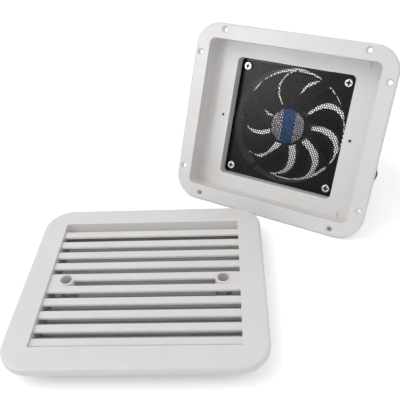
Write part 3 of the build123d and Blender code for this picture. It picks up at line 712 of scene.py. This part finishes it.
@dataclass
class PhotoCamera:
    """The camera that took the photograph, in the frame's metres."""

    place: Place = (0.203068, -0.329548, 0.354893)
    azimuth: float = -30.67
    elevation: float = 37.46
    roll: float = 3.68
    lens: float = 49.335
    sensor: float = 36.0
    clip_start: float = 0.01
    clip_end: float = 20.0

    def build(self) -> bpy.types.Object:
        """Make the camera and take the scene's picture through it.

        Returns:
            The camera. It looks along the azimuth and down by the elevation, and the roll then
            turns it about its own line of sight.
        """
        turn, down = radians(self.azimuth), radians(self.elevation)
        sight = Vector((cos(down) * sin(turn), cos(down) * cos(turn), -sin(down)))
        right = sight.cross(Vector((0, 0, 1))).normalized()
        up = right.cross(sight)
        tilt = Matrix.Rotation(radians(self.roll), 3, sight)
        axes = Matrix((tilt @ right, tilt @ up, -sight)).transposed()
        lens = bpy.data.cameras.new("photo_camera")
        lens.lens = self.lens
        lens.sensor_width = self.sensor
        lens.clip_start = self.clip_start
        lens.clip_end = self.clip_end
        camera = bpy.data.objects.new("photo_camera", lens)
        camera.matrix_world = Matrix.Translation(self.place) @ axes.to_4x4()
        bpy.context.scene.collection.objects.link(camera)
        bpy.context.scene.camera = camera
        return camera


@dataclass
class FanLead:
    """The fan's two wires, twisted together, from the duct's window to the plug on the floor.

    Its places and its coil are in millimetres, and the wires, the pitch and the gaps in metres.
    """

    face: Face
    wire_diameter: float = 1.6 * MM
    diameter: float = 3.2 * MM
    twist_pitch: float = 21 * MM
    twist_start: float = 2.6
    sides: int = 10
    station_gap: float = 1.0 * MM
    wire_depth: float = 36.15
    exit_across: float = 47.67
    exit_up: float = 63.9
    strut_direction: float = 41.7
    heading_run: float = 10.0
    coil_middle: tuple[float, float] = (98.5, 163.0)
    coil_start: float = 30.0
    coil_outer: float = 16.0
    coil_step: float = 3.8
    coil_rise: float = 3.7
    coil_turns: int = 2
    points_per_turn: int = 16
    floor_height: float = 1.6
    spline_order: int = 3
    spline_resolution: int = 12
    hanging: tuple[Place, ...] = (
        (102, 172, 134.5), (112, 171, 133), (119.3, 167.3, 127), (122, 161, 117.5),
        (122.6, 147, 92), (123.6, 138.5, 60), (132.6, 131.5, 41.5), (125, 134, 20),
        (122.8, 142, 4.5), (121.11, 155.85, 1.6), (113.96, 168.23, 1.6))
    tail: tuple[Place, ...] = (
        (110.76, 173.77, 5.3), (107.26, 179.83, 5.3), (101, 184.2, 2.6), (93.5, 185.3, 2.6))

    def coil(self) -> np.ndarray:
        """Route points of the put-away coil.

        Returns:
            Rows of x, y and z in millimetres. The radius falls by one step over the first turn and
            grows back over the second; the height climbs one layer on a smooth step halfway. The
            spline runs inside its points, so their radius is longer by one over the cosine of
            half the angle between them.
        """
        turns = np.linspace(0, self.coil_turns, self.coil_turns * self.points_per_turn + 1)
        from_fold = np.abs(turns - self.coil_turns / 2)
        radius = self.coil_outer - self.coil_step * (self.coil_turns / 2 - from_fold)
        radius = radius / cos(pi / self.points_per_turn)
        climb = np.clip(0.5 + 2 * (turns - self.coil_turns / 2), 0, 1)
        height = self.floor_height + self.coil_rise * climb ** 2 * (3 - 2 * climb)
        angle = radians(self.coil_start) + tau * turns
        across = self.coil_middle[0] + radius * np.cos(angle)
        along = self.coil_middle[1] + radius * np.sin(angle)
        return np.stack([across, along, height], axis=1)

    def exit(self) -> tuple[np.ndarray, np.ndarray]:
        """Find where the lead leaves the strut.

        Returns:
            That place in the frame, in metres, and the lead's heading there.
        """
        leaves = np.array([[self.exit_across, self.exit_up, -self.wire_depth]]) * MM
        start = self.face.to_frame(leaves)[0]
        run = radians(self.strut_direction)
        return start, np.array(self.face.across * cos(run) + self.face.up * sin(run))

    def route(self) -> bpy.types.Object:
        """The lead's own line.

        Returns:
            A curve of one NURBS spline through the exit, the hanging stretch, the coil and the
            stretch to the plug. It is only measured, and is taken away again.
        """
        start, heading = self.exit()
        out = np.stack([start, start + heading * self.heading_run * MM])
        rest = np.concatenate([np.array(self.hanging), self.coil(), np.array(self.tail)]) * MM
        points = np.concatenate([out, rest])
        curve = bpy.data.curves.new("lead_route", "CURVE")
        curve.dimensions = "3D"
        spline = curve.splines.new("NURBS")
        spline.points.add(len(points) - 1)
        spline.points.foreach_set("co", np.c_[points, np.ones(len(points))].ravel())
        spline.order_u = self.spline_order
        spline.use_endpoint_u = True
        spline.resolution_u = self.spline_resolution
        line = bpy.data.objects.new("lead_route", curve)
        bpy.context.scene.collection.objects.link(line)
        return line

    def stations(self) -> np.ndarray:
        """Measure the route.

        Returns:
            Evenly spaced points along it, in metres: each lies on the straight piece between the two
            curve points that its share of the whole length falls between.
        """
        line = self.route()
        bpy.context.view_layer.update()
        mesh = bpy.data.meshes.new_from_object(line)
        points = np.zeros(len(mesh.vertices) * 3)
        mesh.vertices.foreach_get("co", points)
        points = points.reshape(-1, 3)
        bpy.data.meshes.remove(mesh)
        bpy.data.objects.remove(line)
        reached = np.r_[0, np.cumsum(np.linalg.norm(np.diff(points, axis=0), axis=1))]
        count = int(reached[-1] / self.station_gap) + 1
        wanted = np.linspace(0, reached[-1], count)
        return np.stack([np.interp(wanted, reached, points[:, axis]) for axis in range(3)], axis=1)

    def sides_along(self, points: np.ndarray, first_side: np.ndarray) -> tuple[np.ndarray, np.ndarray]:
        """Directions square to the route that don't turn about it.

        Args:
            points: the route's stations.
            first_side: the side direction at the first station.

        Returns:
            Two directions a station: each side is the one before it, less its share along the
            route, at unit length, and the second is square to it and to the route.
        """
        along = np.gradient(points, axis=0)
        along /= np.linalg.norm(along, axis=1)[:, None]
        side = first_side
        sides = []
        for direction in along:
            side = side - direction * np.dot(side, direction)
            side = side / np.linalg.norm(side)
            sides.append(side)
        side_rows = np.array(sides)
        return side_rows, np.cross(along, side_rows)

    def build(self) -> bpy.types.Object:
        """Returns:
            The piece. A wire's middle turns round the route at half the pair's width, once a
            pitch, and each wire is a tube of that middle line. The second wire is half a turn on.
        """
        points = self.stations()
        _, heading = self.exit()
        across_strut = np.cross(np.array(self.face.out), heading)
        side, other = self.sides_along(points, across_strut)
        reached = np.arange(len(points)) * np.linalg.norm(np.diff(points, axis=0), axis=1).mean()
        ring = np.arange(self.sides) / self.sides * tau
        rows, faces = [], []
        for wire in range(2):
            twist = self.twist_start + tau * reached / self.twist_pitch + pi * wire
            aside = side * np.cos(twist)[:, None] + other * np.sin(twist)[:, None]
            middle = points + aside * self.wire_diameter / 2
            round_wire = (side[:, None] * np.cos(ring)[None, :, None]
                          + other[:, None] * np.sin(ring)[None, :, None])
            rows.append((middle[:, None] + round_wire * self.wire_diameter / 2).reshape(-1, 3))
            faces += tube_faces(len(points), self.sides, wire * len(points) * self.sides)
        piece = make_piece("twisted_lead", np.concatenate(rows), faces, smooth=True)
        for finish in (PvcInsulation("pvc_insulation_red", "#7E1A18", "#8F423C"),
                       PvcInsulation("pvc_insulation_black", "#141315", "#3A3839")):
            piece.data.materials.append(finish.make())
        black = np.arange(len(faces)) >= len(faces) // 2
        piece.data.polygons.foreach_set("material_index", black.astype(np.int32))
        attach(piece, Body.HOUSING.value)
        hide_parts("fan_lead", "fan_lead_coil", "plug_lead")
        return piece


@dataclass
class GuardSheet:
    """The finely perforated steel sheet over the fan, in millimetres."""

    face: Face
    side: float = 120.2
    corner_radius: float = 4.2
    front_depth: float = 32.6
    thickness: float = 0.8
    hole_pitch: float = 2.45
    hole_radius: float = 0.88
    border: float = 1.2
    pitches_past_edge: float = 0.3
    screw_spacing: float = 105.0
    screw_clearance: float = 2.2
    cleared_share: float = 0.6
    blank_round_screw: float = 3.4
    least_area: float = 1e-5

    def cells(self) -> tuple[np.ndarray, np.ndarray]:
        """Place the sheet's six-sided cells.

        Returns:
            Their middles, in rows half a pitch times the root of 3 apart, with every other row moved
            by half a pitch, and whether each has a hole. One near an edge or a screw has none, and
            one inside a screw's hole is left out.
        """
        count = int(self.side / self.hole_pitch)
        steps = np.arange(-count, count + 1)
        row, column = np.meshgrid(steps, steps, indexing="ij")
        across = (column + 0.5 * (row % 2)) * self.hole_pitch
        up = row * self.hole_pitch * sqrt(3) / 2
        middles = np.stack([across.ravel(), up.ravel()], axis=1)
        reach = self.side / 2 + self.pitches_past_edge * self.hole_pitch
        middles = middles[(np.abs(middles) < reach).all(axis=1)]
        from_screw = np.linalg.norm(self.to_screws(middles), axis=1)
        limit = self.side / 2 - self.border - self.hole_radius
        holed = (np.abs(middles).max(axis=1) < limit) & (from_screw > self.blank_round_screw)
        kept = from_screw > self.cleared_share * self.screw_clearance
        return middles[kept], holed[kept]

    def to_screws(self, points: np.ndarray) -> np.ndarray:
        """Way from the nearest screw to each point, by the signs of the point's own places."""
        return points - np.sign(points) * self.screw_spacing / 2

    def trimmed(self, points: np.ndarray) -> np.ndarray:
        """Bring points onto the sheet.

        Args:
            points: rows of across and up, in millimetres.

        Returns:
            The same points, where one past an edge moves onto it, one past a rounded corner moves
            towards that corner's middle onto its arc, and one inside a screw's hole moves away
            from the screw onto the hole's rim.
        """
        half, least = self.side / 2, 1e-9
        points = np.clip(points, -half, half)
        core = np.clip(points, -half + self.corner_radius, half - self.corner_radius)
        away = points - core
        far = np.linalg.norm(away, axis=1)
        share = np.where(far > self.corner_radius, self.corner_radius / np.maximum(far, least), 1)
        points = core + away * share[:, None]
        from_screw = self.to_screws(points)
        near = np.linalg.norm(from_screw, axis=1)
        push = np.where(near < self.screw_clearance, self.screw_clearance / np.maximum(near, least), 1)
        return points + from_screw * (push - 1)[:, None]

    def skin(self, cells: np.ndarray, holed: np.ndarray) -> tuple[np.ndarray, np.ndarray]:
        """Work out the sheet's front.

        Args:
            cells: the middles of the cells.
            holed: whether each has a hole.

        Returns:
            Points across and up, and triangles. A cell is a hexagon, and a hole has two sides to
            each of the hexagon's, so three triangles a side join the two. A cell without a hole is a
            fan of four triangles. Neighbours share their outline's points.
        """
        turn = np.arange(HEXAGON) * tau / HEXAGON + radians(30)
        hole_turn = np.arange(2 * HEXAGON) * tau / (2 * HEXAGON)
        outline = np.stack([np.cos(turn), np.sin(turn)], axis=1) * self.hole_pitch / sqrt(3)
        rim = np.stack([np.cos(hole_turn), np.sin(hole_turn)], axis=1) * self.hole_radius
        corners = self.trimmed((cells[:, None] + outline[None]).reshape(-1, 2))
        welded, number = np.unique(np.round(corners, 3), axis=0, return_inverse=True)
        number = number.reshape(-1, HEXAGON)
        rims = (cells[holed][:, None] + rim[None]).reshape(-1, 2)
        hole_number = len(welded) + np.arange(len(rims)).reshape(-1, 2 * HEXAGON)
        outer = number[holed]
        step = np.arange(HEXAGON)
        here, beyond = outer[:, step], outer[:, (step + 1) % HEXAGON]
        first, second, third = (
            hole_number[:, (2 * step + shift) % (2 * HEXAGON)] for shift in range(3))
        joined = [np.stack(corner, axis=-1).reshape(-1, 3) for corner in (
            (first, here, second), (here, third, second), (here, beyond, third))]
        plain = number[~holed]
        fans = [np.stack([plain[:, 0], plain[:, k], plain[:, k + 1]], axis=-1)
                for k in range(1, HEXAGON - 1)]
        triangles = np.concatenate(joined + fans)
        flat = np.concatenate([welded, rims])
        a, b, c = (flat[triangles[:, k]] for k in range(3))
        triangles = triangles[np.cross(b - a, c - a) > self.least_area]
        used, renumbered = np.unique(triangles, return_inverse=True)
        return flat[used], renumbered.reshape(-1, 3)

    def build(self) -> bpy.types.Object:
        """Build the sheet.

        Returns:
            The piece: its front is one skin, which Solidify gives its thickness.
        """
        cells, holed = self.cells()
        flat, triangles = self.skin(cells, holed)
        points = self.face.to_frame(np.c_[flat, np.full(len(flat), -self.front_depth)] * MM)
        piece = make_piece("guard_sheet", points, triangles, smooth=False)
        solid = piece.modifiers.new("sheet_thickness", "SOLIDIFY")
        solid.thickness = self.thickness * MM
        solid.offset = -1
        # Powder coat on steel: near black, with a hard, even gloss that only a lamp shows up.
        coat = GrainedCoat(
            "steel_sheet_black_coat", "#09090A", "#0F0F10", 0.28, 0.03, 0.9, 0.01, 22.0, specular=0.14)
        piece.data.materials.append(coat.make())
        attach(piece, Body.HOUSING.value)
        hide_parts("mesh_guard")
        log.info("guard sheet has %d holes", int(holed.sum()))
        return piece


@dataclass
class WallHousing:
    """The moulded housing with the four screws and nuts that hold the fan in it."""

    face: Face

    def dress(self) -> None:
        """Dress the housing's CAD nodes."""
        moulded = [node for node in nodes_of(Body.HOUSING) if node.startswith("housing_")]
        dress(MouldedAbs("abs_moulded_white_housing", PinMarks(self.face)), *moulded)
        # Nickel plate on rolled steel: warm grey, with a soft, broad highlight, and painted shade in the screws'
        # driving recesses.
        dress(TurnedMetal("steel_nickel_plated", self.face, "#B9B7B2", "#98958F", 0.34, 0.35, 0.01,
                          recesses=RecessShade(self.face)), "fan_screws", "fan_nuts")


@dataclass
class LouvreCover:
    """The louvre cover, lying face up on the floor: one moulding with its slats and screw wells."""

    finish: MouldedAbs = MouldedAbs("abs_moulded_white_cover")

    def dress(self) -> None:
        """Dress the cover."""
        dress(self.finish, "louvre_cover")


@dataclass
class AxialFan:
    """The fan: frame, rotor, bearings, stator and board."""

    face: Face
    strut_direction: float = 41.7
    lead_split: float = 16.0

    def dress(self) -> None:
        """Dress the fan's CAD nodes."""
        face = self.face
        # Glass filled PBT: dull black, with faint flow patches. The blades are a little glossier.
        dress(GrainedCoat("pbt_glass_filled_black", "#0E0E0F", "#141415",
                          0.5, 0.07, 0.6, 0.02, 18.0, specular=0.15), "fan_frame")
        dress(GrainedCoat("pbt_moulded_black_blades", "#0C0C0D", "#121213",
                          0.42, 0.06, 0.8, 0.015, 14.0, specular=0.15), "impeller")
        dress(PrintedFilm("polyester_film_silver_print", face), "hub_label")
        strut = face.spun(radians(self.strut_direction))
        dress(PairedInsulation("pvc_insulation_pair", strut, self.lead_split), "strut_leads")
        # Ground and hardened steel: mirror bright, with fine rings that draw each highlight out.
        dress(TurnedMetal("steel_ground_bright", face, "#BDBCBA", "#9E9C99", 0.2, 0.25, 0.006),
              "shaft", "shaft_clip", "bearing_balls", "bearing_inner_rings", "bearing_outer_rings",
              "bearing_washer")
        # Drawn steel with a zinc plate: bluish grey, dulled in patches.
        dress(TurnedMetal("steel_zinc_plated", face, "#A8ADB0", "#8B9094", 0.36, 0.5, 0.01),
              "rotor_cup")
        # Turned brass: yellow, with clear tool rings.
        dress(TurnedMetal("brass_turned", face, "#C9A45A", "#A98446", 0.28, 0.3, 0.01),
              "rotor_bush")
        # Ferrite powder in a binder: brownish black and matt, with a rough grain.
        dress(GrainedCoat("ferrite_bonded", "#2E2A28", "#3B3633", 0.6, 0.08, 0.5, 0.03, 6.0),
              "magnet_ring")
        # Punched steel sheets half a millimetre thick: grey edges between dark lines.
        dress(LayeredStack("steel_laminated", face, "#8C8A86", "#4B4946", 0.4, 0.5, 0.05),
              "stator_core")
        # Enamelled copper wire: glossy orange turns side by side.
        dress(LayeredStack("copper_enamelled", face, "#B4612E", "#6E3517", 0.28, 0.25, 0.06),
              "stator_windings")
        # Moulded nylon: creamy and waxy.
        dress(GrainedCoat("nylon_moulded_natural", "#CFC9B8", "#D9D4C6", 0.42, 0.05, 0.5, 0.02, 9.0),
              "stator_former")
        dress(PrintedBoard("epoxy_glass_green_mask", face), "circuit_board")
        # Moulded epoxy: charcoal and matt, with the fine grain of its filler.
        dress(GrainedCoat("epoxy_moulded_black", "#1D1C1E", "#29282A", 0.55, 0.05, 0.25, 0.02, 4.0),
              "driver_chip")
        # Tinned brass: pale grey, with soft highlights.
        dress(TurnedMetal("brass_tinned", face, "#C6C3BC", "#A5A29B", 0.3, 0.2, 0.008),
              "board_pins", "plug_pins")
        # Moulded nylon, here bleached: off-white and slightly glossy.
        dress(GrainedCoat("nylon_moulded_white", "#D8D4C8", "#E1DED4", 0.4, 0.05, 0.5, 0.02, 8.0),
              "lead_plug")


@dataclass(frozen=True)
class SoftBox:
    """A square soft lamp that faces the middle of the object."""

    name: str
    power: float
    size: float
    distance: float
    azimuth: float
    elevation: float
    use: LampUse = LampUse.LIGHT

    def build(self) -> None:
        """Make the lamp.

        Its azimuth is counted from the front towards the right, and its elevation from the floor.
        """
        low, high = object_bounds()
        turn, rise = radians(self.azimuth), radians(self.elevation)
        towards = Vector((sin(turn) * cos(rise), -cos(turn) * cos(rise), sin(rise)))
        light = bpy.data.lights.new(self.name, "AREA")
        light.shape = "SQUARE"
        light.size = self.size
        light.energy = self.power
        lamp = bpy.data.objects.new(self.name, light)
        lamp.visible_diffuse = self.use is LampUse.LIGHT
        lamp.location = (low + high) / 2 + towards * self.distance
        lamp.rotation_mode = "QUATERNION"
        lamp.rotation_quaternion = towards.to_track_quat("Z", "Y")
        bpy.context.scene.collection.objects.link(lamp)


@dataclass
class Studio:
    """White floor, white surroundings and soft lamps, in metres."""

    floor_size: float = 6.0
    floor_colour: str = "#F4F4F4"
    floor_roughness: float = 0.9
    floor_lift: float = 0.36
    near_reach: float = 0.03
    near_samples: int = 16
    closed_share: float = 0.2
    open_share: float = 0.5
    shaded_lift: float = 0.25
    sky_light: float = 0.72
    lamps: tuple[SoftBox, ...] = (
        SoftBox("soft_box_left", 8.7, 1.2, 1.6, -55.0, 57.0),
        SoftBox("soft_box_low_front", 6.0, 0.3, 1.3, -28.0, 25.0, LampUse.HIGHLIGHT),
    )

    def seen_directly(self, tree: bpy.types.NodeTree) -> bpy.types.NodeSocket:
        """Tell rays that see a surface from rays that light the object.

        Args:
            tree: the node tree of the floor's material or of the world.

        Returns:
            One for a ray of the camera, a reflection or glass, and nothing for the others.
        """
        rays = add_node(tree, "ShaderNodeLightPath")
        seen = rays.outputs["Is Camera Ray"]
        for other in ("Is Glossy Ray", "Is Transmission Ray"):
            seen = add_node(tree, "ShaderNodeMath", {
                0: seen, 1: rays.outputs[other]}, operation="MAXIMUM").outputs[0]
        return seen

    def in_the_open(self, shade: Shade) -> bpy.types.NodeSocket:
        """One on the open floor, and little where the object closes the floor in.

        Args:
            shade: the floor's material.

        Returns:
            A value that grows with the share of the sky that no near piece hides. A wall beside a
            place hides at most half of it, so only covered places go below one.
        """
        sky = shade.add("ShaderNodeAmbientOcclusion", {
            "Distance": self.near_reach}, samples=self.near_samples)
        return shade.add("ShaderNodeMapRange", {
            0: sky.outputs["AO"], 1: self.closed_share, 2: self.open_share, 3: self.shaded_lift,
            4: 1.0}, interpolation_type="SMOOTHSTEP").outputs[0]

    def floor(self) -> bpy.types.Object:
        """Make the floor.

        Returns:
            The piece: a square of white paper, matt and without shine. What is seen of it is lifted
            to white by a glow that doesn't light the object.
        """
        half = self.floor_size / 2
        points = np.array([[-half, -half, 0], [half, -half, 0], [half, half, 0], [-half, half, 0]])
        floor = make_piece("studio_floor", points, [[0, 1, 2, 3]], smooth=False)
        shade = Shade("paper_backdrop_white", self.floor_colour, self.floor_roughness)
        shade.shader.inputs["Specular IOR Level"].default_value = 0.0
        seen = self.seen_directly(shade.tree)
        lift = shade.add("ShaderNodeMath", {
            0: self.in_the_open(shade), 1: self.floor_lift}, operation="MULTIPLY")
        glow = shade.add("ShaderNodeMath", {0: seen, 1: lift.outputs[0]}, operation="MULTIPLY")
        shade.shader.inputs["Emission Color"].default_value = (1, 1, 1, 1)
        shade.link(glow.outputs[0], "Emission Strength")
        floor.data.materials.append(shade.material)
        floor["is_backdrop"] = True
        return floor

    def sky(self) -> None:
        """Make the surroundings: white where they are seen, and as bright as the light elsewhere."""
        world = bpy.data.worlds.new("studio_sky")
        bpy.context.scene.world = world
        world.use_nodes = True
        tree = world.node_tree
        tree.nodes.clear()
        strength = add_node(tree, "ShaderNodeMapRange", {
            0: self.seen_directly(tree), 3: self.sky_light, 4: 1.0})
        back = add_node(tree, "ShaderNodeBackground", {
            "Color": (1, 1, 1, 1), "Strength": strength.outputs[0]})
        add_node(tree, "ShaderNodeOutputWorld", {"Surface": back.outputs[0]})

    def build(self) -> None:
        """Make the floor, the surroundings and the lamps, and show colours as they are."""
        bpy.context.scene.view_settings.view_transform = "Standard"
        self.floor()
        self.sky()
        for lamp in self.lamps:
            lamp.build()


def main() -> None:
    """Build and dress the pieces in order, and log which CAD nodes each body carries."""
    logging.basicConfig(level=logging.INFO, format="%(name)s: %(message)s")
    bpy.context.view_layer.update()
    housing = housing_face()
    PhotoCamera().build()
    log.info("built %s", FanLead(housing).build().name)
    log.info("built %s", GuardSheet(housing).build().name)
    WallHousing(housing).dress()
    AxialFan(housing).dress()
    LouvreCover().dress()
    Studio().build()
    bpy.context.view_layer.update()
    for body in Body:
        log.info("%s carries %s", body.value, ", ".join(nodes_of(body)))


if __name__ == "__main__":
    main()
